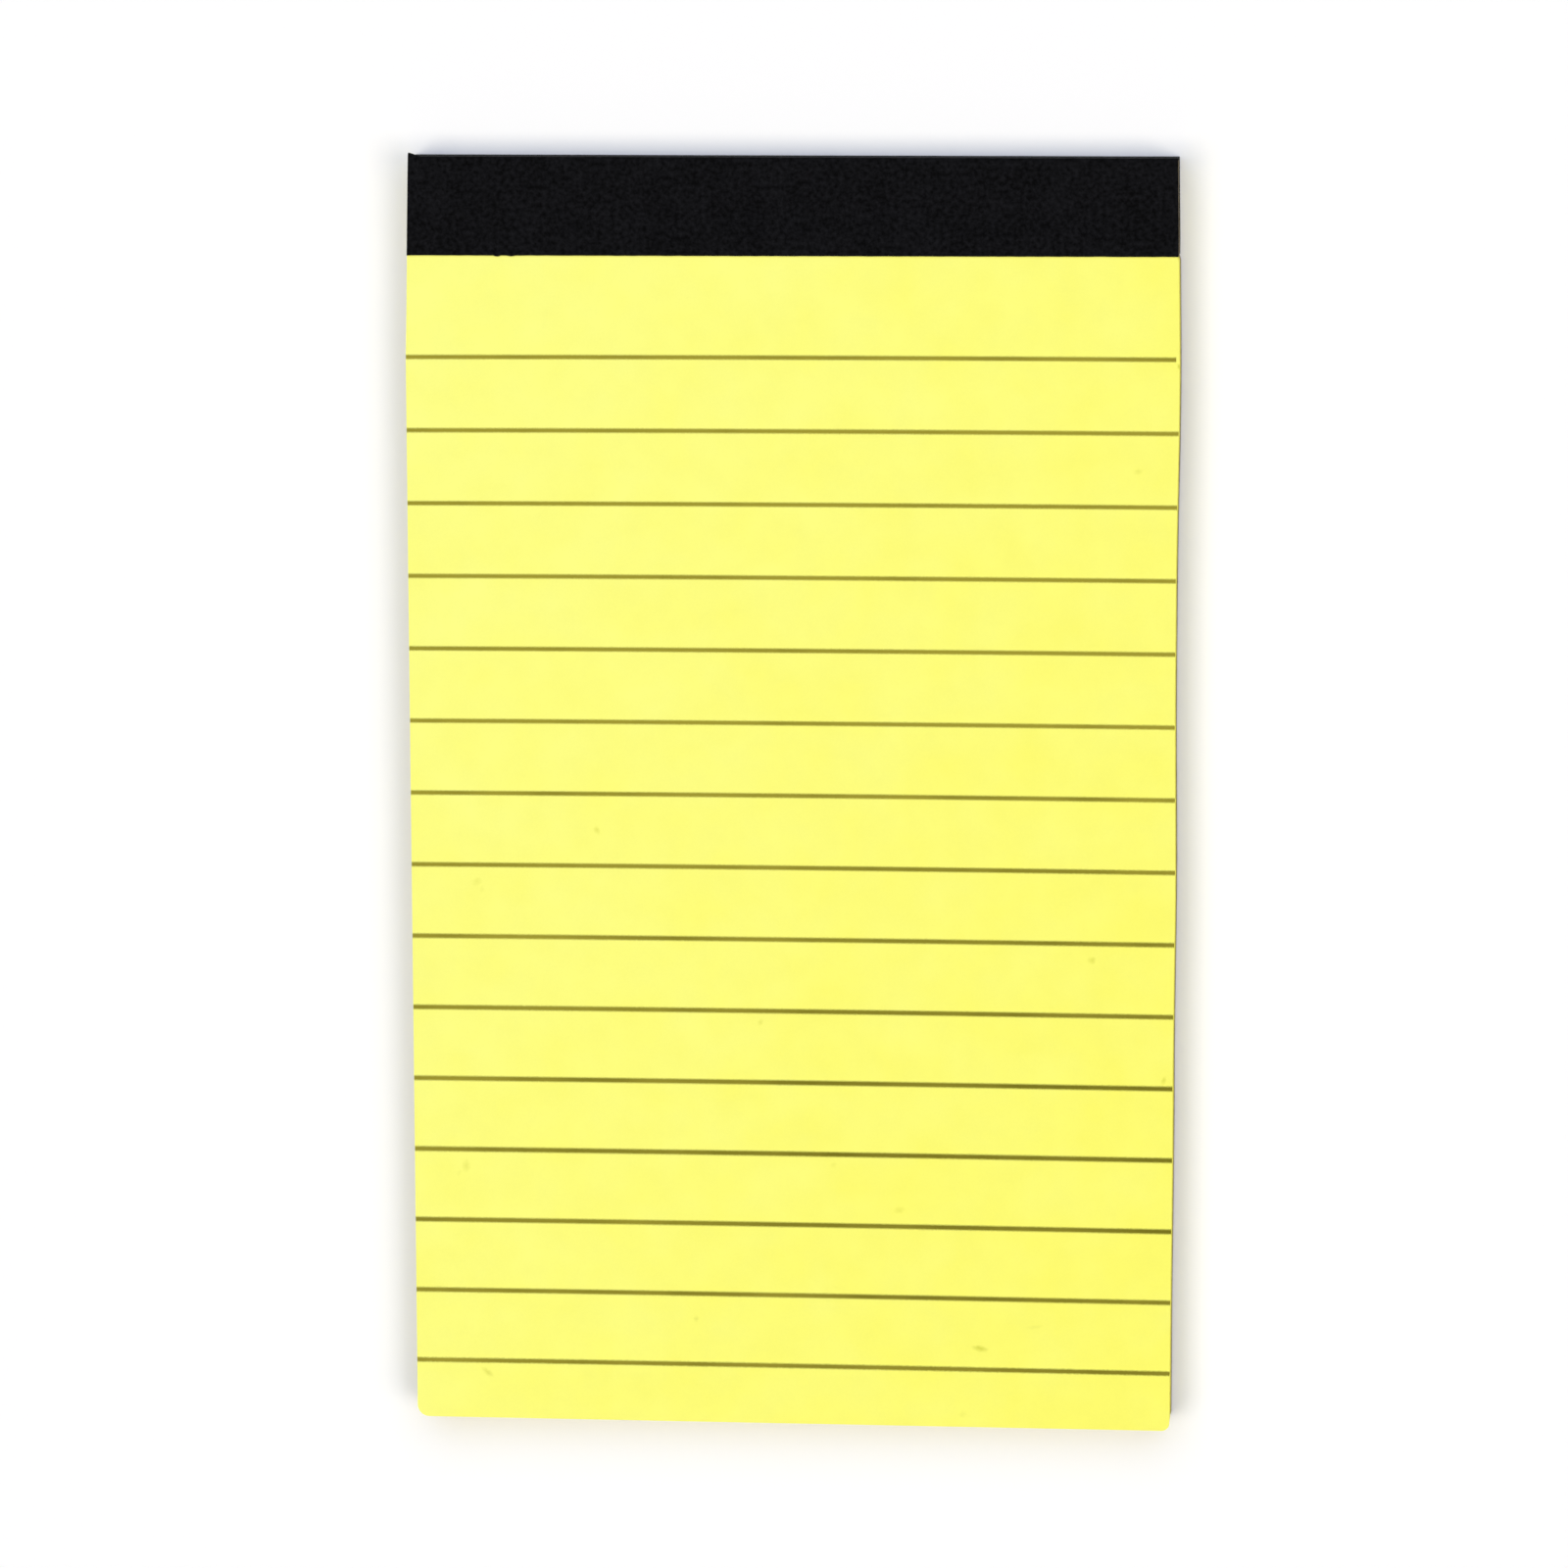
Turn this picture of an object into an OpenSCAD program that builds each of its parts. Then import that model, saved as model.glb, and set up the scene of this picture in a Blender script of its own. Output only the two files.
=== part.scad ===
// Small top-bound legal pad, lying on its back with the ruled face up.
// Millimetres. X runs across the pad, +Y points to the bound head, +Z is up.
// The origin is the centre of the pad's outline, on the surface that it lies on.

/* [Sheets] */
// Width of a sheet
sheet_w = 76.2; // [50:0.1:220]
// Length of a sheet, from head to foot
sheet_l = 127; // [60:0.1:360]
// Number of sheets in the pad
sheet_count = 50; // [10:1:100]
// Thickness of one sheet
sheet_t = 0.1; // [0.06:0.01:0.2]
// Furthest that the edge of a sheet sits back from the edge of the top sheet
edge_jog = 0.16; // [0.05:0.01:0.4]
// Radius of the two corners at the foot
foot_corner_r = 0.8; // [0.3:0.1:6]

/* [Ruling] */
// Clear band between the tape and the middle of the first rule
head_space = 9.96; // [2:0.01:40]
// Distance from the middle of one rule to the next
rule_pitch = 7.24; // [4:0.01:12]
// Width of a printed rule
rule_w = 0.35; // [0.1:0.01:0.8]
// Depth that the ink soaks into the top sheet
ink_depth = 0.02; // [0.01:0.01:0.05]
// Least distance from the middle of the last rule to the foot
foot_space = 4; // [2:0.1:20]

/* [Backing board] */
// Thickness of the chipboard
board_t = 0.6; // [0.3:0.05:1.5]

/* [Binding] */
// Thickness of the gum film that joins the sheets and the board at the head
gum_t = 0.2; // [0.1:0.05:0.6]
// Radius inside the two folds of the tape, at most the thickness of the gum film
fold_r = 0.18; // [0.05:0.01:0.4]
// Thickness of the binding tape
tape_t = 0.14; // [0.08:0.01:0.3]
// Depth of the tape on the ruled face, from the outside of the head
tape_front = 9.8; // [5:0.1:25]
// Depth of the tape on the board, from the outside of the head
tape_back = 9.8; // [5:0.1:25]

/* [Hidden] */
$fn = 48;

// Heights, from the surface that the pad lies on
board_z = tape_t;
sheets_z = board_z + board_t;
sheets_top = sheets_z + sheet_count * sheet_t;
pad_top = sheets_top + tape_t;

// Places along the pad
pad_l = sheet_l + gum_t + tape_t;
foot_y = -pad_l / 2;
sheet_head_y = foot_y + sheet_l;
gum_head_y = sheet_head_y + gum_t;
pad_head_y = gum_head_y + tape_t;

// The fold starts where the gum film does, so it is never rounder than the film is thick
gum_edge_r = min(fold_r, gum_t);

// As many rules as fit above the foot and its round corners
first_rule_y = pad_head_y - tape_front - head_space;
last_rule_y = foot_y + max(foot_space, foot_corner_r + rule_w);
rule_count = floor((first_rule_y - last_rule_y) / rule_pitch) + 1;

// How far an edge of a sheet sits back, counting sheets down from the top one, number 0.
// The steps are dealt out so that neighbours differ and the top sheet has its full size.
function jog(sheet, stride, steps) = edge_jog * ((sheet * stride) % steps) / (steps - 1);
function left_jog(sheet) = jog(sheet, 4, 11);
function right_jog(sheet) = jog(sheet, 4, 9);
function foot_jog(sheet) = jog(sheet, 7, 17);

// Flat outline of a sheet or of the board, with a square head and two round corners at the foot.
module sheet_outline(left_in = 0, right_in = 0, foot_in = 0) {
    left = -sheet_w / 2 + left_in;
    right = sheet_w / 2 - right_in;
    foot = foot_y + foot_in;
    translate([left, foot + foot_corner_r])
        square([right - left, sheet_head_y - foot - foot_corner_r]);
    translate([left + foot_corner_r, foot])
        square([right - left - 2 * foot_corner_r, sheet_head_y - foot]);
    for (corner_x = [left + foot_corner_r, right - foot_corner_r])
        translate([corner_x, foot + foot_corner_r])
            circle(foot_corner_r);
}

// Bars along all the rules, from side to side; as a cutter they stand out past the paper.
module rule_bars(past = 0) {
    for (rule = [0 : rule_count - 1])
        translate([
            -sheet_w / 2 - past,
            first_rule_y - rule * rule_pitch - rule_w / 2,
            sheets_top - ink_depth
        ])
            cube([sheet_w + 2 * past, rule_w, ink_depth + past]);
}

// Side view of a block at the head with its two outer edges rolled, Y across and Z up.
module head_section(start_y, head_y, low, high, edge_r) {
    intersection() {
        translate([start_y, low])
            square([head_y - start_y, high - low]);
        union() {
            translate([start_y - edge_r, low])
                square([head_y - start_y, high - low]);
            translate([start_y, low + edge_r])
                square([head_y - start_y, high - low - 2 * edge_r]);
            for (centre_z = [low + edge_r, high - edge_r])
                translate([head_y - edge_r, centre_z])
                    circle(edge_r);
        }
    }
}

// Runs a side view across the pad, centred.
module across(width) {
    rotate([90, 0, 90])
        linear_extrude(width, center = true)
            children();
}

// The glued sheets, one block with the stepped edges of a stack and shallow beds for the ink.
module ruled_sheets() {
    color([0.99, 0.98, 0.48])
        difference() {
            for (sheet = [0 : sheet_count - 1])
                translate([0, 0, sheets_top - (sheet + 1) * sheet_t])
                    linear_extrude(sheet_t)
                        sheet_outline(left_jog(sheet), right_jog(sheet), foot_jog(sheet));
            rule_bars(past = sheet_t);
        }
}

// The printed rules, flush with the top sheet.
module printed_rules() {
    color([0.5, 0.46, 0.12])
        rule_bars();
}

// The stiff board under the sheets.
module chipboard_back() {
    color([0.62, 0.57, 0.5])
        translate([0, 0, board_z])
            linear_extrude(board_t)
                sheet_outline();
}

// The film of padding gum over the head of the sheets and the board.
module head_gum() {
    color([0.93, 0.91, 0.82])
        across(sheet_w)
            head_section(sheet_head_y, gum_head_y, board_z, sheets_top, gum_edge_r);
}

// The tape, one strip folded over the head from the ruled face to the board and cut off at the sides.
module binding_tape() {
    front_y = pad_head_y - tape_front;
    back_y = pad_head_y - tape_back;
    start_y = min(front_y, back_y);
    color([0.07, 0.07, 0.08])
        across(sheet_w)
            difference() {
                head_section(start_y, pad_head_y, 0, pad_top, gum_edge_r + tape_t);
                head_section(start_y - tape_t, gum_head_y, board_z, sheets_top, gum_edge_r);
                // The shallower of the two flaps is cut back to its own depth.
                translate([start_y - tape_t, sheets_top])
                    square([front_y - start_y + tape_t, 2 * tape_t]);
                translate([start_y - tape_t, board_z - 2 * tape_t])
                    square([back_y - start_y + tape_t, 2 * tape_t]);
            }
}

ruled_sheets();
printed_rules();
chipboard_back();
head_gum();
binding_tape();
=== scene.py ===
"""Looks of a small top-bound legal pad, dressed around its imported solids.

Metres, +Z up, +Y towards the bound head. Sizes written in millimetres are multiplied by MM.
"""
import math
import random

import bpy
from mathutils import Matrix, Vector, noise


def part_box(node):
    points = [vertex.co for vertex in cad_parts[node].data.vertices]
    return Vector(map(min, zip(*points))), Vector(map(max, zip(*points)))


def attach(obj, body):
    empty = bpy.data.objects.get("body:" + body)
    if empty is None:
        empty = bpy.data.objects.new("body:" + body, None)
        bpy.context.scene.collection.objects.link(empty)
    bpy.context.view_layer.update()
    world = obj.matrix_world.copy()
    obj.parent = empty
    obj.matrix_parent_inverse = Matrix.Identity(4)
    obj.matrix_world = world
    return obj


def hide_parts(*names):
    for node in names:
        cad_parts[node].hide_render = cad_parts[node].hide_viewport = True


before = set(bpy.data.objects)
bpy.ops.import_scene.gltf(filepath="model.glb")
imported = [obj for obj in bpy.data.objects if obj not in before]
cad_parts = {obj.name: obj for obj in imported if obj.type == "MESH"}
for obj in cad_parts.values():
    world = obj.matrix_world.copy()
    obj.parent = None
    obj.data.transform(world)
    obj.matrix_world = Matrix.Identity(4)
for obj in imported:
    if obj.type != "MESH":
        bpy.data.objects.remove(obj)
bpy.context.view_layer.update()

MM = 0.001
BODY = "root"
LEFT, RIGHT = -1, 1
# Edges that turn more than this stay hard
HARD_EDGE = math.radians(40)
# Numbers that keep the waves of different edges apart
LEFT_WAVE, RIGHT_WAVE, FOOT_WAVE, LEAF_WAVE = 1, 2, 3, 4
INK_LOW_WAVE, INK_HIGH_WAVE = 5, 6
TAPE_FRONT_WAVE, TAPE_BACK_WAVE = 7, 8

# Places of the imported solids
sheets_low, sheets_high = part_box("ruled_sheets")
rules_low, rules_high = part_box("printed_rules")
board_low, board_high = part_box("chipboard_back")
gum_low, gum_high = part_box("head_gum")
tape_low, tape_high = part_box("binding_tape")
HALF_L = tape_high.y
PAPER_Z = sheets_high.z

# Trim: a knife takes a little off the sides and the foot,
# and more off the right end of the head than off its left
SIDE_CUT = 0.1 * MM
FOOT_CUT = 0.28 * MM
HEAD_CUT = {LEFT: 0.12 * MM, RIGHT: 0.28 * MM}
HALF_W = sheets_high.x - SIDE_CUT
FOOT_Y = sheets_low.y + FOOT_CUT
# How far the sides come in at the head, and over what length
PAPER_TRIM = {LEFT: (0.46 * MM, 20 * MM), RIGHT: (0.14 * MM, 9 * MM)}
TAPE_TRIM = {LEFT: (0.46 * MM, 20 * MM), RIGHT: (0.12 * MM, 8 * MM)}
# How far the tape stands out past the trim on the right
TAPE_OVERHANG = 0.12 * MM
# The tape pinches the sheets along its front edge, and past it their sides stand out, more towards the head
PINCH_RUN = 0.5 * MM
PINCH_LOW = tape_low.y - PINCH_RUN / 2
PINCH_HIGH = tape_low.y + PINCH_RUN / 2
SIDE_LEAN = {LEFT: 0, RIGHT: 0.1 * MM}
# Stretches of the sides that swell out: place along the pad, reach each way and height
SIDE_SWELLS = {
    LEFT: [],
    RIGHT: [
        (41 * MM, 20 * MM, 0.2 * MM),
        (-9 * MM, 20 * MM, 0.16 * MM),
        (-34 * MM, 20 * MM, 0.08 * MM),
    ],
}

# Leaves
LEAF_COUNT = 50
LEAF_PITCH = (sheets_high.z - sheets_low.z) / LEAF_COUNT
LEAF_T = 0.094 * MM
CORNER_R = {LEFT: 1.2 * MM, RIGHT: 0.8 * MM}
CORNER_STEPS = 8
# Edges of a leaf that sit back on their own, and the most that they do
JOGGED_EDGES = ("left", "right", "foot")
EDGE_JOG = 0.16 * MM
EDGE_WAVE = 0.02 * MM
EDGE_WAVE_RUN = 9 * MM
# Length over which what moves the foot's edge fades
FOOT_FADE = 3 * max(CORNER_R.values())
# Divisions across and along
TOP_LEAF_GRID = (48, 76)
LEAF_GRID = (12, 24)
# Tone of the top leaf's edge, where 0 is the darkest leaf and 1 the lightest
TOP_LEAF_TONE = 0.5
SEED = 20

# Board, and how far it stands out past the leaves on the right
BOARD_GRID = (40, 70)
BOARD_PROUD = 0.06 * MM

# Gentle waves of the top leaves, which stay flat under the tape and lift a little at the foot
LOOSE_LEAVES = 14
RIPPLE = 0.05 * MM
RIPPLE_RUN = 26 * MM
RIPPLE_FADE = 14 * MM
FOOT_LIFT = 0.1 * MM
FOOT_LIFT_RUN = 16 * MM

# Printed rules: width of a packed rule, and of the ink with its feathered edges
RULE_COUNT = 15
RULE_W = 0.35 * MM
INK_W = 0.6 * MM
# The rule, counted from 0, that took the most ink, how many rules away that fades, and how much it spreads
HEAVY_RULE = 11
HEAVY_REACH = 6
HEAVY_SPREAD = 0.14
# Share of that ink at the left end of the rule, where the right end has all of it
HEAVY_LEFT = 0.4
RULE_BOW = 0.07 * MM
INK_PROUD = 0.004 * MM
INK_SUNK = 0.008 * MM
INK_STEP = 0.4 * MM
INK_WOBBLE = 0.012 * MM
INK_WOBBLE_RUN = 2.5 * MM
FIRST_RULE_SHORT = 0.3 * MM
RULE_END_GAP = 0.004 * MM
# Edge of the rule that each corner of its section is on
RULE_CORNERS = [-1, 1, 1, -1]

# Binding tape
TAPE_T = tape_high.z - sheets_high.z
FOLD_R = 0.32 * MM
TAPE_STATIONS = 300
FLAP_STEPS = 22
FOLD_STEPS = 8
HEAD_STEPS = 10
TAPE_RAG = 0.035 * MM
TAPE_RAG_RUN = 0.9 * MM
TAPE_RIPPLE = 0.012 * MM
TAPE_RIPPLE_RUN = 6 * MM
# Small burrs of the front edge: distance from the middle, reach and half width
EDGE_BURRS = [(-29.0 * MM, 0.12 * MM, 0.4 * MM), (-27.6 * MM, 0.08 * MM, 0.5 * MM)]
# Burr where the fold was cut at the head's left corner
CORNER_BURR = 0.36 * MM
CORNER_BURR_RUN = 1.2 * MM

# Gum film
GUM_EDGE_R = FOLD_R - TAPE_T
GUM_STATIONS = 60

# Camera, fitted to the photograph's outline and rules
CAMERA_LENS = 135
CAMERA_SENSOR = 36
CAMERA_PLACE = Vector((52.04, 84.05, 580.61)) * MM
CAMERA_AIM = Vector((-0.593, 1.638, 5.74)) * MM
CAMERA_ROLL = math.radians(0.146)

# Light: broad warm lamps overhead to the left and to the right, a cool one past the head,
# and a little from all round
WHITE = (1, 1, 1, 1)
WORLD_LIGHT = 0.077
BACKDROP_LIGHT = 1
WARM = (1.109, 1.035, 0.856)
COOL = (0.852, 0.958, 1.19)
SIDE_SPREAD = math.radians(28)
HEAD_SPREAD = math.radians(62)
# Each lamp: how far it leans across and along the pad for each metre up, its strength, spread and colour
LAMPS = {
    "left_lamp": (-0.4, -0.13, 0.305, SIDE_SPREAD, WARM),
    "right_lamp": (0.576, -0.13, 0.31, SIDE_SPREAD, WARM),
    "head_lamp": (0, 0.465, 0.436, HEAD_SPREAD, COOL),
}
FLOOR_SIZE = 6
FLOOR_COLOUR = (0.965, 0.96, 0.97, 1)
# Colour of the floor for the light that it throws back at the pad
FLOOR_BOUNCE = (0.76, 0.76, 0.76, 1)
FLOOR_LIFT = 0.02


def smooth(share):
    """0 to 1 with soft ends, for a share that may lie outside that range."""
    share = min(1.0, max(0.0, share))
    return share * share * (3 - 2 * share)


def wave(*place):
    """Seamless noise from 0 to 1 at a place given in runs of the wave."""
    return 0.5 + 0.5 * noise.noise(Vector(place + (0.5,) * (3 - len(place))))


def side_x(side, y, trim=PAPER_TRIM):
    """Where the trimmed left or right side of the pad is at y."""
    most, run = trim[side]
    return side * (HALF_W - most * max(0.0, 1 - (HALF_L - y) / run))


def sheet_side_x(side, y):
    """Where the left or right side of a sheet is at y."""
    out = SIDE_LEAN[side] * (y + HALF_L) / (2 * HALF_L)
    for place, reach, height in SIDE_SWELLS[side]:
        out += height * smooth(1 - abs(y - place) / reach)
    free = smooth((PINCH_HIGH - y) / PINCH_RUN)
    return side_x(side, y) + side * free * out


def head_cut(share):
    """How much was trimmed off the head, at a share of the way from left to right."""
    return HEAD_CUT[LEFT] + (HEAD_CUT[RIGHT] - HEAD_CUT[LEFT]) * share


# Bodies


def slab(rows, top, bottom):
    """Points and faces of a closed slab over rows of (x, y); top and bottom give its heights.

    The faces of the rim come last, and their number is given too.
    """
    per_row = len(rows[0])
    flat = [point for row in rows for point in row]
    verts = [(x, y, top(x, y)) for x, y in flat] + [(x, y, bottom(x, y)) for x, y in flat]
    under = len(flat)
    faces = []
    for row in range(len(rows) - 1):
        for column in range(per_row - 1):
            a = row * per_row + column
            b = a + per_row
            faces.append((a, a + 1, b + 1, b))
            faces.append((under + a, under + b, under + b + 1, under + a + 1))
    last = under - per_row
    loop = list(range(per_row))
    loop += [row * per_row + per_row - 1 for row in range(1, len(rows))]
    loop += list(range(under - 2, last - 1, -1))
    loop += [row * per_row for row in range(len(rows) - 2, 0, -1)]
    rim = [(p, under + p, under + q, q) for p, q in zip(loop, loop[1:] + loop[:1])]
    return verts, faces + rim, len(rim)


def strip(loops):
    """Points and faces of a closed body through equal loops, whose two halves run side by side."""
    count = len(loops[0])
    verts = [point for loop in loops for point in loop]
    faces = []
    for k in range(len(loops) - 1):
        a, b = k * count, (k + 1) * count
        faces += [(a + i, b + i, b + (i + 1) % count, a + (i + 1) % count) for i in range(count)]
    end = len(verts) - count
    for i in range(count // 2 - 1):
        j = count - 1 - i
        faces.append((i, i + 1, j - 1, j))
        faces.append((end + j, end + j - 1, end + i + 1, end + i))
    return verts, faces


def add_body(verts, faces, more_verts, more_faces):
    """Adds the points and faces of one more body to the lists of them."""
    base = len(verts)
    verts += more_verts
    faces += [tuple(base + k for k in face) for face in more_faces]


def make_piece(name, verts, faces, materials, face_materials=None):
    """Mesh object that rides with the pad, smooth but for its hard edges."""
    mesh = bpy.data.meshes.new(name)
    mesh.from_pydata(verts, [], faces)
    for material in materials:
        mesh.materials.append(material)
    if face_materials:
        mesh.polygons.foreach_set("material_index", face_materials)
    mesh.polygons.foreach_set("use_smooth", [True] * len(faces))
    mesh.set_sharp_from_angle(angle=HARD_EDGE)
    piece = bpy.data.objects.new(name, mesh)
    bpy.context.scene.collection.objects.link(piece)
    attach(piece, BODY)
    return piece


def point_values(piece, name, values):
    """Stores one number for each point of a piece, for its material."""
    piece.data.attributes.new(name, "FLOAT", "POINT").data.foreach_set("value", values)


# Sheets and board


def corner_inset(side, rise):
    """How far the round foot corner comes in at a distance from the foot."""
    radius = CORNER_R[side]
    short = max(0.0, radius - rise)
    return radius - math.sqrt(radius * radius - short * short)


def sheet_rows(grid, seed, jogs):
    """Rows of (x, y) points from foot to head that fill the outline of a sheet.

    grid is its divisions across and along; jogs are how far its left side, right side and foot sit back.
    """
    columns, steps = grid
    left_jog, right_jog, foot_jog = jogs
    length = sheets_high.y - FOOT_Y
    bend = max(CORNER_R.values())
    rises = [bend * (1 - math.cos(math.pi / 2 * k / CORNER_STEPS)) for k in range(CORNER_STEPS + 1)]
    rises += [bend + (length - bend) * k / steps for k in range(1, steps + 1)]
    rises += [PINCH_LOW - FOOT_Y, PINCH_HIGH - FOOT_Y]
    rows = []
    for rise in sorted(rises):
        y = FOOT_Y + rise
        run = y / EDGE_WAVE_RUN
        left_in = left_jog + corner_inset(LEFT, rise) + EDGE_WAVE * wave(run, seed, LEFT_WAVE)
        right_in = right_jog + corner_inset(RIGHT, rise) + EDGE_WAVE * wave(run, seed, RIGHT_WAVE)
        left = sheet_side_x(LEFT, y) + left_in
        right = sheet_side_x(RIGHT, y) - right_in
        at_foot = max(0.0, 1 - rise / FOOT_FADE)
        row = []
        for k in range(columns + 1):
            x = left + (right - left) * k / columns
            foot_in = foot_jog + EDGE_WAVE * wave(x / EDGE_WAVE_RUN, seed, FOOT_WAVE)
            row.append((x, y + at_foot * foot_in - head_cut(k / columns) * rise / length))
        rows.append(row)
    return rows


def face_kinds(faces, rim):
    """Which material each face of a slab has: the first, or the second on its rim."""
    return [0] * (len(faces) - rim) + [1] * rim


def leaf_lift(x, y, leaf=0):
    """Height of a leaf over its flat place, less and less from the top leaf down."""
    fade = smooth((tape_low.y - y) / RIPPLE_FADE)
    curl = smooth(1 - (y - FOOT_Y) / FOOT_LIFT_RUN)
    ripple = RIPPLE * wave(x / RIPPLE_RUN, y / RIPPLE_RUN, LEAF_WAVE)
    loose = max(0.0, 1 - leaf / LOOSE_LEAVES)
    return loose * loose * (fade * ripple + FOOT_LIFT * curl * curl)


def leaf_slab(leaf, grid, jogs=(0, 0, 0)):
    """Slab of one leaf, counted from 0 at the top."""
    z = PAPER_Z - leaf * LEAF_PITCH
    return slab(
        sheet_rows(grid, leaf, jogs),
        lambda x, y: z + leaf_lift(x, y, leaf),
        lambda x, y: z + leaf_lift(x, y, leaf) - LEAF_T,
    )


def make_top_leaf(materials):
    """The ruled leaf on top, finely divided so that it can wave."""
    verts, faces, rim = leaf_slab(0, TOP_LEAF_GRID)
    piece = make_piece("top_leaf", verts, faces, materials, face_kinds(faces, rim))
    point_values(piece, "leaf_tone", [TOP_LEAF_TONE] * len(verts))
    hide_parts("ruled_sheets")


def make_leaf_stack(materials):
    """The leaves under the top one, each with its own trim and tone."""
    dice = random.Random(SEED)
    verts, faces, kinds, tones = [], [], [], []
    for leaf in range(1, LEAF_COUNT):
        jogs = [EDGE_JOG * dice.random() ** 2 for _ in JOGGED_EDGES]
        leaf_verts, leaf_faces, rim = leaf_slab(leaf, LEAF_GRID, jogs)
        add_body(verts, faces, leaf_verts, leaf_faces)
        kinds += face_kinds(leaf_faces, rim)
        tones += [dice.random()] * len(leaf_verts)
    piece = make_piece("leaf_stack", verts, faces, materials, kinds)
    point_values(piece, "leaf_tone", tones)
    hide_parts("ruled_sheets")


def make_board(materials):
    """The chipboard, cut with the leaves."""
    verts, faces, rim = slab(
        sheet_rows(BOARD_GRID, LEAF_COUNT, jogs=(0, -BOARD_PROUD, 0)),
        lambda x, y: board_high.z,
        lambda x, y: board_low.z,
    )
    piece = make_piece("backing_board", verts, faces, materials, face_kinds(faces, rim))
    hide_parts("chipboard_back")


# Rules


def rule_loops(rule, heavy):
    """Sections of one printed line from left to right; heavy is its share of the most ink."""
    pitch = (rules_high.y - rules_low.y - RULE_W) / (RULE_COUNT - 1)
    y = rules_high.y - RULE_W / 2 - rule * pitch
    left = sheet_side_x(LEFT, y) + EDGE_WAVE + RULE_END_GAP
    right = sheet_side_x(RIGHT, y) - EDGE_WAVE - RULE_END_GAP
    if rule == 0:
        right -= FIRST_RULE_SHORT
    half = INK_W / 2 * (1 + HEAVY_SPREAD * heavy)
    stations = round((right - left) / INK_STEP)
    loops = []
    for k in range(stations + 1):
        x = left + (right - left) * k / stations
        run = x / INK_WOBBLE_RUN
        middle = y - RULE_BOW * (x / HALF_W) ** 2
        low = middle - half - INK_WOBBLE * wave(run, rule, INK_LOW_WAVE)
        high = middle + half + INK_WOBBLE * wave(run, rule, INK_HIGH_WAVE)
        z = PAPER_Z + leaf_lift(x, y)
        over, under = z + INK_PROUD, z - INK_SUNK
        loops.append([(x, low, over), (x, high, over), (x, high, under), (x, low, under)])
    return loops


def make_rules(material):
    """The printed lines, thin strips of ink that lie in the top leaf."""
    verts, faces, across, ink = [], [], [], []
    for rule in range(RULE_COUNT):
        heavy = max(0.0, 1 - abs(rule - HEAVY_RULE) / HEAVY_REACH)
        loops = rule_loops(rule, heavy)
        add_body(verts, faces, *strip(loops))
        for k, loop in enumerate(loops):
            across += RULE_CORNERS
            ink += [heavy * (HEAVY_LEFT + (1 - HEAVY_LEFT) * k / (len(loops) - 1))] * len(loop)
    piece = make_piece("rule_lines", verts, faces, [material])
    point_values(piece, "across", across)
    point_values(piece, "heavy_ink", ink)
    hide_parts("printed_rules")


# Binding


def head_path(front_y, back_y, head_y, low, high, edge_r, flap_steps):
    """Path from the front flap over the head to the back flap.

    Each step of it is a place and the direction out of the pad there: (y, z, out_y, out_z).
    """
    path = []
    for k in range(flap_steps):
        path.append((front_y + (head_y - edge_r - front_y) * k / flap_steps, high, 0, 1))
    for k in range(FOLD_STEPS + 1):
        a = math.pi / 2 * k / FOLD_STEPS
        out_y, out_z = math.sin(a), math.cos(a)
        path.append((head_y - edge_r * (1 - out_y), high - edge_r * (1 - out_z), out_y, out_z))
    for k in range(1, HEAD_STEPS):
        path.append((head_y, high - edge_r - (high - low - 2 * edge_r) * k / HEAD_STEPS, 1, 0))
    for k in range(FOLD_STEPS + 1):
        a = math.pi / 2 * k / FOLD_STEPS
        out_y, out_z = math.cos(a), -math.sin(a)
        path.append((head_y - edge_r * (1 - out_y), low + edge_r * (1 + out_z), out_y, out_z))
    for k in range(1, flap_steps + 1):
        path.append((head_y - edge_r - (head_y - edge_r - back_y) * k / flap_steps, low, 0, -1))
    return path


def tape_loop(share):
    """Points around the tape at a share of the way from left to right, its outside first."""
    x = HALF_W * (2 * share - 1)
    front_y = tape_low.y - TAPE_RAG * wave(x / TAPE_RAG_RUN, TAPE_FRONT_WAVE)
    for middle, reach, half in EDGE_BURRS:
        front_y -= reach * smooth(1 - abs(x - middle) / half)
    back_y = tape_low.y - TAPE_RAG * wave(x / TAPE_RAG_RUN, TAPE_BACK_WAVE)
    head_y = tape_high.y - head_cut(share)
    burr = CORNER_BURR * smooth(1 - (x + HALF_W) / CORNER_BURR_RUN)
    outer, inner = [], []
    path = head_path(front_y, back_y, head_y, tape_low.z, tape_high.z, FOLD_R, FLAP_STEPS)
    for y, z, out_y, out_z in path:
        left = side_x(LEFT, y, TAPE_TRIM)
        right = side_x(RIGHT, y, TAPE_TRIM) + TAPE_OVERHANG
        place = left + (right - left) * share
        bulge = TAPE_RIPPLE * wave(x / TAPE_RIPPLE_RUN, y / TAPE_RIPPLE_RUN, z / TAPE_RIPPLE_RUN)
        push = burr * out_y * smooth(2 * z / tape_high.z - 1)
        outer.append((place, y + out_y * bulge + push, max(tape_low.z, z + out_z * bulge)))
        inner.append((place, y - out_y * TAPE_T, z - out_z * TAPE_T))
    return outer + inner[::-1]


def make_tape(material):
    """The strip folded over the head, with a slightly ragged front edge and a burr at one corner."""
    loops = [tape_loop(k / TAPE_STATIONS) for k in range(TAPE_STATIONS + 1)]
    verts, faces = strip(loops)
    piece = make_piece("folded_tape", verts, faces, [material])
    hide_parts("binding_tape")


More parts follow.
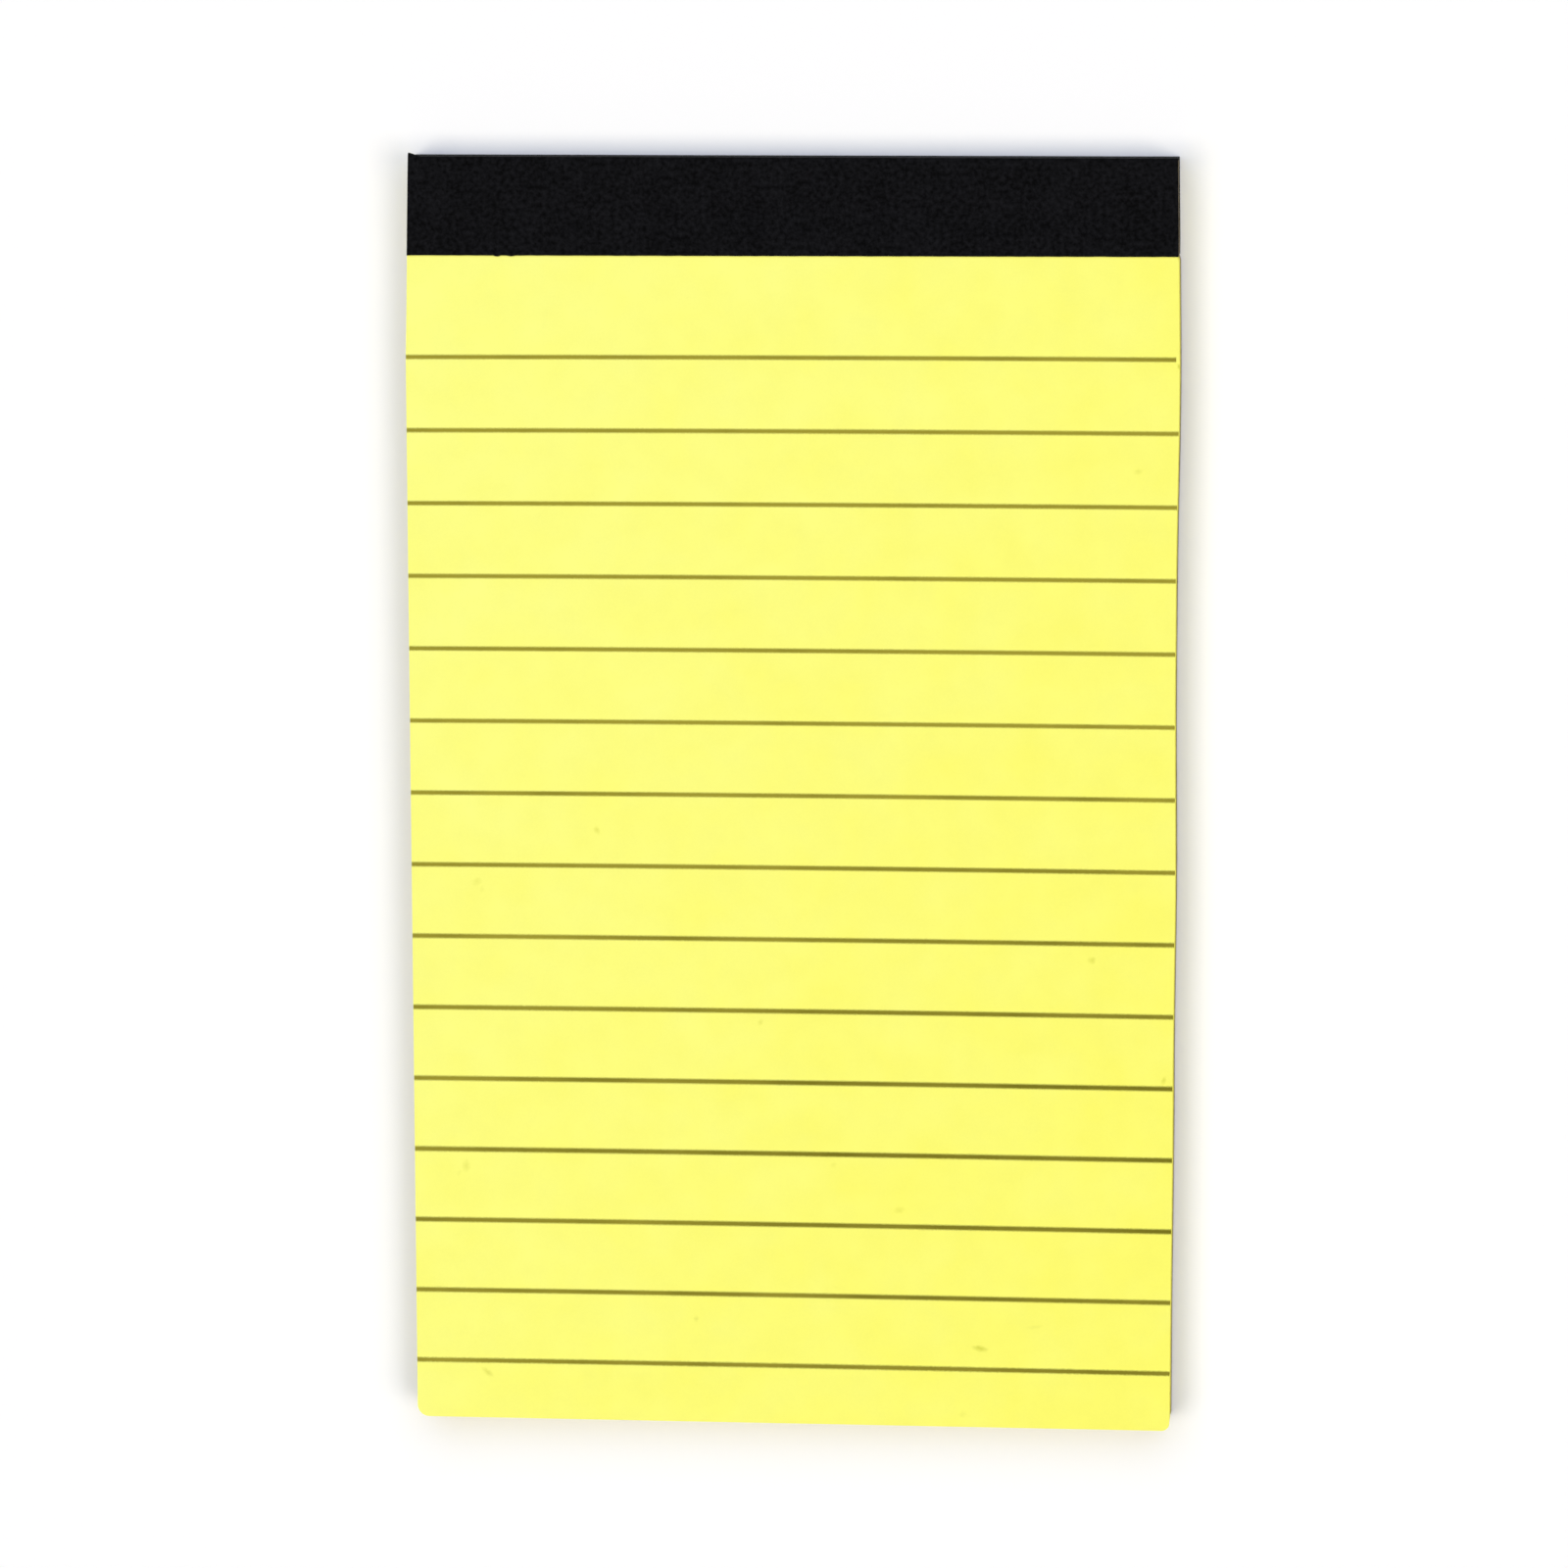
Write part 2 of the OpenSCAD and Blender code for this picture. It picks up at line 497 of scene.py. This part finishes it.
def gum_loop(share):
    """Points around the gum at a share of the way from left to right, its outside first."""
    path = head_path(
        gum_low.y, gum_low.y, gum_high.y, gum_low.z, gum_high.z, GUM_EDGE_R, flap_steps=1
    )
    outer, inner = [], []
    for y, z, _, _ in path[1:-1]:
        left, right = side_x(LEFT, y), side_x(RIGHT, y)
        place = left + (right - left) * share
        outer.append((place, y - head_cut(share), z))
        inner.append((place, gum_low.y - head_cut(share), z))
    return outer + inner[::-1]


def make_gum(material):
    """The film of gum between the head of the leaves and the tape."""
    loops = [gum_loop(k / GUM_STATIONS) for k in range(GUM_STATIONS + 1)]
    verts, faces = strip(loops)
    piece = make_piece("gum_film", verts, faces, [material])
    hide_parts("head_gum")


# Materials

GRAIN_ROUGHNESS = 0.55
# Range that nearly all of a noise lies in, and its middle as a colour
NOISE_RANGE = (0.3, 0.7)
NOISE_MIDDLE = (0.5, 0.5, 0.5)


def new_material(name):
    """A material with an empty Principled shader, as (material, node tree, shader)."""
    material = bpy.data.materials.new(name)
    material.use_nodes = True
    tree = material.node_tree
    tree.nodes.clear()
    shader = tree.nodes.new("ShaderNodeBsdfPrincipled")
    output = tree.nodes.new("ShaderNodeOutputMaterial")
    tree.links.new(shader.outputs["BSDF"], output.inputs["Surface"])
    return material, tree, shader


def set_finish(shader, roughness, specular):
    """How rough a whole surface is, and how much it shines."""
    shader.inputs["Roughness"].default_value = roughness
    shader.inputs["Specular IOR Level"].default_value = specular


def feed(tree, socket, value):
    """Links a socket to another's output, or sets its value."""
    if isinstance(value, bpy.types.NodeSocket):
        tree.links.new(value, socket)
    else:
        socket.default_value = value


def node(tree, kind, inputs=None, **settings):
    """Adds a node; inputs are by socket name or number."""
    made = tree.nodes.new(kind)
    for name, value in settings.items():
        setattr(made, name, value)
    for name, value in (inputs or {}).items():
        feed(tree, made.inputs[name], value)
    return made


def calc(tree, operation, a, b=0.0, clamp=False):
    """Result of one arithmetic step."""
    return node(tree, "ShaderNodeMath", {0: a, 1: b}, operation=operation, use_clamp=clamp).outputs[0]


def blend(tree, share, a, b):
    """Sum of two numbers, where b has a share and a the rest."""
    return calc(tree, "ADD", calc(tree, "MULTIPLY", a, 1 - share), calc(tree, "MULTIPLY", b, share))


def vector_calc(tree, operation, a, b):
    """Result of one arithmetic step on vectors."""
    return node(tree, "ShaderNodeVectorMath", {0: a, 1: b}, operation=operation).outputs[0]


def scaled(tree, vector, value):
    """Vector or colour times a number."""
    made = node(tree, "ShaderNodeVectorMath", {0: vector, "Scale": value}, operation="SCALE")
    return made.outputs[0]


def ramp(tree, value, start, end, low=0.0, high=1.0):
    """Value brought from the range start to end into the range low to high, and held there."""
    inputs = {"Value": value, "From Min": start, "From Max": end, "To Min": low, "To Max": high}
    return node(tree, "ShaderNodeMapRange", inputs).outputs["Result"]


def about(tree, value, middle, reach):
    """Value from 0 to 1 brought into the range that reaches both ways from a middle."""
    return ramp(tree, value, 0, 1, middle - reach, middle + reach)


def mix(tree, share, a, b):
    """Colour between a and b."""
    # The node's sockets for colours share their names with others, so they go by number
    made = node(tree, "ShaderNodeMix", {0: share, 6: a, 7: b}, data_type="RGBA")
    return made.outputs[2]


def place_of(tree):
    """Place on the piece, in metres."""
    return node(tree, "ShaderNodeTexCoord").outputs["Object"]


def grain(tree, place, size, detail, stretch=None):
    """Noise from 0 to 1 with features of a size in metres, stretched by a factor along each axis.

    detail is how many finer layers the noise has.
    """
    if stretch:
        place = vector_calc(tree, "DIVIDE", place, stretch)
    inputs = {"Vector": place, "Scale": 1 / size, "Detail": detail, "Roughness": GRAIN_ROUGHNESS}
    return node(tree, "ShaderNodeTexNoise", inputs).outputs["Fac"]


def bump(tree, shader, height, depth):
    """Small relief of a depth in metres."""
    made = node(tree, "ShaderNodeBump", {"Distance": depth, "Height": height})
    feed(tree, shader.inputs["Normal"], made.outputs["Normal"])


def stored(tree, name):
    """A number stored with the points of a piece."""
    return node(tree, "ShaderNodeAttribute", attribute_name=name).outputs["Fac"]


# Pale canary yellow, and the deeper yellow that the random mottling and the painted shade towards the lower
# right mix in
PAPER_LIGHT = (0.972, 0.976, 0.243, 1)
PAPER_DEEP_AND_SHADED = (0.972, 0.94, 0.15, 1)
PAPER_ROUGHNESS = 0.9
PAPER_SPECULAR = 0.15
# How much of the deeper yellow the middle has, and how much more of it the right side and the foot have as
# painted shade
DEEPER_MIDDLE = 0.5
PAINTED_SHADE_RIGHT = 0.27
PAINTED_SHADE_FOOT = 0.23
# How strong the mottling, the clouds and the fine grain are, and the size and detail of each
PAPER_MOTTLE = 0.45
PAPER_CLOUD = 0.03
PAPER_GRAIN = 0.02
MOTTLE_NOISE = (7 * MM, 3)
CLOUD_NOISE = (3.2 * MM, 4)
GRAIN_NOISE = (0.22 * MM, 3)
FIBRE_NOISE = (0.12 * MM, 4)
FIBRE_DEPTH = 0.006 * MM
FLECK_COLOUR = (0.5, 0.5, 0.005, 1)
# How far the outline of a fleck wanders, and over what length
FLECK_WANDER = 0.3 * MM
FLECK_WANDER_RUN = 0.3 * MM
# Where a fleck starts to show and where it shows in full, as shares of its half size
FLECK_RIM = 1.3
FLECK_CORE = 0.2
# Flecks of recycled fibre: place, length and width in millimetres, turn in degrees, strength
FLECKS = [
    (34.3, 32.9, 0.8, 0.55, 10, 0.23),
    (-19.3, -3.2, 0.75, 0.5, -60, 0.32),
    (-31.4, -8.5, 1.0, 0.7, 30, 0.18),
    (-30.9, -9.3, 0.6, 0.4, 80, 0.1),
    (30.0, -15.7, 0.75, 0.65, 0, 0.34),
    (-3.0, -22.4, 0.65, 0.5, 70, 0.26),
    (37.2, -27.7, 0.8, 0.4, 72, 0.38),
    (-32.8, -37.5, 1.2, 0.75, 85, 0.25),
    (-33.5, -38.2, 0.6, 0.4, 60, 0.1),
    (4.3, -36.8, 0.6, 0.5, 20, 0.14),
    (10.9, -41.3, 1.0, 0.65, 15, 0.22),
    (-9.6, -52.8, 0.6, 0.5, 80, 0.22),
    (24.5, -53.0, 1.6, 0.4, 8, 0.12),
    (19.0, -55.3, 1.5, 0.5, -10, 0.52),
    (-30.8, -58.7, 1.25, 0.5, -38, 0.34),
    (38.2, 43.2, 0.5, 0.3, 90, 0.6),
    (17.3, -62.1, 0.8, 0.6, 40, 0.12),
]


def shaded_paper_colour(tree, place):
    """Canary yellow with painted shade that deepens it towards the lower right, and the cloudiness of
    pressed pulp.
    """
    split = node(tree, "ShaderNodeSeparateXYZ", {0: place})
    # Painted shade: the yellow deepens towards the right side and the foot, as if lit from the upper left
    across = calc(tree, "MULTIPLY", split.outputs["X"], PAINTED_SHADE_RIGHT / HALF_W)
    along = calc(tree, "MULTIPLY", split.outputs["Y"], -PAINTED_SHADE_FOOT / HALF_L)
    mottle = about(tree, grain(tree, place, *MOTTLE_NOISE), DEEPER_MIDDLE, PAPER_MOTTLE)
    shade_and_mottle = calc(tree, "ADD", calc(tree, "ADD", across, along), mottle, clamp=True)
    colour = mix(tree, shade_and_mottle, PAPER_LIGHT, PAPER_DEEP_AND_SHADED)
    cloud = about(tree, grain(tree, place, *CLOUD_NOISE), 1, PAPER_CLOUD)
    fine = about(tree, grain(tree, place, *GRAIN_NOISE), 1, PAPER_GRAIN)
    return scaled(tree, colour, calc(tree, "MULTIPLY", cloud, fine))


def fleck_share(tree, place):
    """How strongly a fleck shows at a place."""
    rough = node(tree, "ShaderNodeTexNoise", {"Vector": place, "Scale": 1 / FLECK_WANDER_RUN})
    shift = vector_calc(tree, "SUBTRACT", rough.outputs["Color"], NOISE_MIDDLE)
    warped = vector_calc(tree, "ADD", place, scaled(tree, shift, FLECK_WANDER))
    shown = 0.0
    for x, y, length, width, turn, strength in FLECKS:
        inputs = {
            "Vector": warped,
            "Location": (x * MM, y * MM, 0),
            "Rotation": (0, 0, math.radians(turn)),
            "Scale": (length / 2 * MM, width / 2 * MM, 1),
        }
        local = node(tree, "ShaderNodeMapping", inputs, vector_type="TEXTURE").outputs[0]
        reach = node(tree, "ShaderNodeVectorMath", {0: local}, operation="LENGTH").outputs["Value"]
        shown = calc(tree, "MAXIMUM", shown, ramp(tree, reach, FLECK_RIM, FLECK_CORE, 0, strength))
    return shown


def paper_material(name, flecked):
    """Uncoated writing paper."""
    material, tree, shader = new_material(name)
    place = place_of(tree)
    colour = shaded_paper_colour(tree, place)
    if flecked:
        colour = mix(tree, fleck_share(tree, place), colour, FLECK_COLOUR)
    feed(tree, shader.inputs["Base Color"], colour)
    set_finish(shader, PAPER_ROUGHNESS, PAPER_SPECULAR)
    bump(tree, shader, grain(tree, place, *FIBRE_NOISE), FIBRE_DEPTH)
    return material


EDGE_GOLD = (0.99, 0.75, 0.14, 1)
EDGE_GOLD_SHARE = 0.6
EDGE_ROUGHNESS = 0.95
EDGE_SPECULAR = 0.1
# Tones of the darkest leaf and the lightest, and how much a tone varies along its leaf
EDGE_TONES = (0.66, 1.0)
EDGE_FUZZ = 0.1
EDGE_FUZZ_NOISE = (0.15 * MM, 3)
EDGE_RELIEF_NOISE = (0.08 * MM, 3)
EDGE_RELIEF_DEPTH = 0.01 * MM


def paper_edge_material():
    """Cut edges of the leaves, deeper in colour than their faces, each with a tone of its own."""
    material, tree, shader = new_material("paper_edge")
    place = place_of(tree)
    tone = ramp(tree, stored(tree, "leaf_tone"), 0, 1, *EDGE_TONES)
    fuzz = about(tree, grain(tree, place, *EDGE_FUZZ_NOISE), 1, EDGE_FUZZ)
    # The edges start from the face's yellow, which has painted shade towards the lower right
    deep = mix(tree, EDGE_GOLD_SHARE, shaded_paper_colour(tree, place), EDGE_GOLD)
    colour = scaled(tree, deep, calc(tree, "MULTIPLY", tone, fuzz))
    feed(tree, shader.inputs["Base Color"], colour)
    set_finish(shader, EDGE_ROUGHNESS, EDGE_SPECULAR)
    bump(tree, shader, grain(tree, place, *EDGE_RELIEF_NOISE), EDGE_RELIEF_DEPTH)
    return material


INK_LIGHT = (0.337, 0.294, 0.029, 1)
INK_DARK = (0.17, 0.151, 0.008, 1)
INK_ROUGHNESS = 0.85
INK_SPECULAR = 0.15
# How much the ink grows denser and thinner along a rule
INK_DRIFT = 0.3
INK_DRIFT_NOISE = (9 * MM, 3)
# Where the ink starts to cover the paper and where it covers it in full, as shares of the half width,
# and how ragged that is
INK_FRINGE = 1.0
INK_CORE = 0.42
INK_RAG = 0.25
INK_RAG_NOISE = (0.12 * MM, 2)


def ink_material():
    """Brownish olive ink that feathers into the paper, heaviest on the rules below the middle."""
    material, tree, shader = new_material("rule_ink")
    place = place_of(tree)
    along = ramp(tree, grain(tree, place, *INK_DRIFT_NOISE), *NOISE_RANGE, -INK_DRIFT, INK_DRIFT)
    density = calc(tree, "ADD", stored(tree, "heavy_ink"), along, clamp=True)
    ink = mix(tree, density, INK_LIGHT, INK_DARK)
    edge = calc(tree, "ABSOLUTE", stored(tree, "across"))
    ragged = about(tree, grain(tree, place, *INK_RAG_NOISE), 0, INK_RAG)
    cover = ramp(tree, calc(tree, "ADD", edge, ragged), INK_FRINGE, INK_CORE)
    # The ink feathers into the face's yellow, which has painted shade towards the lower right
    feed(tree, shader.inputs["Base Color"], mix(tree, cover, shaded_paper_colour(tree, place), ink))
    set_finish(shader, INK_ROUGHNESS, INK_SPECULAR)
    return material


TAPE_DARK = (0.0008, 0.0008, 0.001, 1)
TAPE_PALE = (0.0066, 0.0066, 0.008, 1)
# Range of the tone that goes from dark to pale, and the share of it that the blotches have
TAPE_TONE_RANGE = (0.38, 0.66)
TAPE_BLOTCH = 0.25
TAPE_PIT_NOISE = (0.45 * MM, 4)
TAPE_BLOTCH_NOISE = (2.5 * MM, 2)
TAPE_PIT_DEPTH = 0.03 * MM
# In the pits and between them
TAPE_ROUGHNESS = (0.8, 0.65)
TAPE_SPECULAR = 0.03


def tape_material():
    """Black binding paper with a fine pressed grain."""
    material, tree, shader = new_material("binding_paper")
    place = place_of(tree)
    pits = grain(tree, place, *TAPE_PIT_NOISE)
    tone = blend(tree, TAPE_BLOTCH, pits, grain(tree, place, *TAPE_BLOTCH_NOISE))
    colour = mix(tree, ramp(tree, tone, *TAPE_TONE_RANGE), TAPE_DARK, TAPE_PALE)
    feed(tree, shader.inputs["Base Color"], colour)
    feed(tree, shader.inputs["Roughness"], ramp(tree, pits, *NOISE_RANGE, *TAPE_ROUGHNESS))
    shader.inputs["Specular IOR Level"].default_value = TAPE_SPECULAR
    bump(tree, shader, pits, TAPE_PIT_DEPTH)
    return material


BOARD_PALE = (0.42, 0.36, 0.285, 1)
BOARD_DARK = (0.25, 0.205, 0.15, 1)
BOARD_ROUGHNESS = 0.92
BOARD_SPECULAR = 0.2
# Range of the tone that goes from dark to pale, and the share of it that the clouds have
BOARD_TONE_RANGE = (0.36, 0.64)
BOARD_CLOUD = 0.4
BOARD_CLOUD_NOISE = (6 * MM, 3)
BOARD_FIBRE_NOISE = (0.5 * MM, 5)
BOARD_FIBRE_DEPTH = 0.03 * MM
# Stretch of the fibres on the faces, and of the layers on the edge
FACE_STRETCH = (1, 2.2, 1)
LAYER_STRETCH = (3, 3, 0.35)
# Dark specks: range of their noise from none to full, and how strong they are then
BOARD_SPECK = (0.09, 0.075, 0.06, 1)
BOARD_SPECK_NOISE = (0.35 * MM, 2)
BOARD_SPECK_RANGE = (0.68, 0.76)
BOARD_SPECK_SHARE = 0.7


def board_material(name, stretch):
    """Recycled chipboard, with fibres on its faces or layers on its edge."""
    material, tree, shader = new_material(name)
    place = place_of(tree)
    fibre = grain(tree, place, *BOARD_FIBRE_NOISE, stretch)
    tone = blend(tree, BOARD_CLOUD, fibre, grain(tree, place, *BOARD_CLOUD_NOISE))
    colour = mix(tree, ramp(tree, tone, *BOARD_TONE_RANGE), BOARD_DARK, BOARD_PALE)
    speckle = grain(tree, place, *BOARD_SPECK_NOISE)
    specks = ramp(tree, speckle, *BOARD_SPECK_RANGE, 0, BOARD_SPECK_SHARE)
    feed(tree, shader.inputs["Base Color"], mix(tree, specks, colour, BOARD_SPECK))
    set_finish(shader, BOARD_ROUGHNESS, BOARD_SPECULAR)
    bump(tree, shader, fibre, BOARD_FIBRE_DEPTH)
    return material


GUM_PALE = (0.83, 0.8, 0.64, 1)
GUM_DARK = (0.66, 0.61, 0.44, 1)
# Brush marks, drawn out across the pad
GUM_BRUSH_NOISE = (0.8 * MM, 3, (4, 1, 1))
GUM_BRUSH_DEPTH = 0.03 * MM
# In the marks and between them
GUM_ROUGHNESS = (0.35, 0.5)


def gum_material():
    """Dried padding gum, milky and slightly glossy."""
    material, tree, shader = new_material("padding_gum")
    place = place_of(tree)
    brush = grain(tree, place, *GUM_BRUSH_NOISE)
    colour = mix(tree, ramp(tree, brush, *NOISE_RANGE), GUM_DARK, GUM_PALE)
    feed(tree, shader.inputs["Base Color"], colour)
    feed(tree, shader.inputs["Roughness"], ramp(tree, brush, *NOISE_RANGE, *GUM_ROUGHNESS))
    bump(tree, shader, brush, GUM_BRUSH_DEPTH)
    return material


# Stage


def seen_directly(tree):
    """1 where the camera, a reflection or a clear piece looks straight at the stage, else 0."""
    path = node(tree, "ShaderNodeLightPath")
    seen = calc(tree, "MAXIMUM", path.outputs["Is Camera Ray"], path.outputs["Is Glossy Ray"])
    return calc(tree, "MAXIMUM", seen, path.outputs["Is Transmission Ray"])


def make_floor():
    """White floor that keeps the pad's shadow, lifted a little where it is seen directly."""
    material = bpy.data.materials.new("stage_floor")
    material.use_nodes = True
    tree = material.node_tree
    tree.nodes.clear()
    seen = seen_directly(tree)
    matt = node(tree, "ShaderNodeBsdfDiffuse", {"Color": mix(tree, seen, FLOOR_BOUNCE, FLOOR_COLOUR)})
    lift = calc(tree, "MULTIPLY", seen, FLOOR_LIFT)
    glow = node(tree, "ShaderNodeEmission", {"Strength": lift})
    both = node(tree, "ShaderNodeAddShader", {0: matt.outputs[0], 1: glow.outputs[0]})
    node(tree, "ShaderNodeOutputMaterial", {"Surface": both.outputs[0]})
    half = FLOOR_SIZE / 2
    corners = [(-half, -half, 0), (half, -half, 0), (half, half, 0), (-half, half, 0)]
    mesh = bpy.data.meshes.new("stage_floor")
    mesh.from_pydata(corners, [], [(0, 1, 2, 3)])
    mesh.materials.append(material)
    floor = bpy.data.objects.new("stage_floor", mesh)
    bpy.context.scene.collection.objects.link(floor)


def make_world():
    """Even soft light from all round, white where it is seen directly."""
    world = bpy.data.worlds.new("studio")
    world.use_nodes = True
    tree = world.node_tree
    tree.nodes.clear()
    soft = node(tree, "ShaderNodeBackground", {"Color": WHITE, "Strength": WORLD_LIGHT})
    white = node(tree, "ShaderNodeBackground", {"Color": WHITE, "Strength": BACKDROP_LIGHT})
    inputs = {0: seen_directly(tree), 1: soft.outputs[0], 2: white.outputs[0]}
    both = node(tree, "ShaderNodeMixShader", inputs)
    node(tree, "ShaderNodeOutputWorld", {"Surface": both.outputs[0]})
    bpy.context.scene.world = world


def make_lamps():
    """Lamps as broad as softboxes, and even over the whole stage."""
    for name, (across, along, strength, spread, colour) in LAMPS.items():
        lamp = bpy.data.lights.new(name, "SUN")
        lamp.energy = strength * math.pi
        lamp.color = colour
        lamp.angle = spread
        light = bpy.data.objects.new(name, lamp)
        light.rotation_euler = Vector((across, along, 1)).to_track_quat("Z", "Y").to_euler()
        bpy.context.scene.collection.objects.link(light)


def make_camera():
    """Camera at the photograph's place, with the pad's head up in the picture."""
    forward = (CAMERA_AIM - CAMERA_PLACE).normalized()
    right = forward.cross(Vector((0, 1, 0))).normalized()
    turn = Matrix.Rotation(CAMERA_ROLL, 3, forward)
    right = turn @ right
    up = right.cross(forward)
    axes = Matrix((right, up, -forward)).transposed()
    data = bpy.data.cameras.new("camera")
    data.lens = CAMERA_LENS
    data.sensor_width = CAMERA_SENSOR
    camera = bpy.data.objects.new("camera", data)
    camera.matrix_world = Matrix.Translation(CAMERA_PLACE) @ axes.to_4x4()
    bpy.context.scene.collection.objects.link(camera)
    bpy.context.scene.camera = camera


bpy.context.scene.view_settings.view_transform = "Standard"
make_camera()
make_world()
make_lamps()
make_floor()
leaf_edge = paper_edge_material()
make_top_leaf([paper_material("ruled_paper", flecked=True), leaf_edge])
make_leaf_stack([paper_material("sheet_paper", flecked=False), leaf_edge])
make_rules(ink_material())
board_face = board_material("chipboard_face", FACE_STRETCH)
board_edge = board_material("chipboard_edge", LAYER_STRETCH)
make_board([board_face, board_edge])
make_gum(gum_material())
make_tape(tape_material())
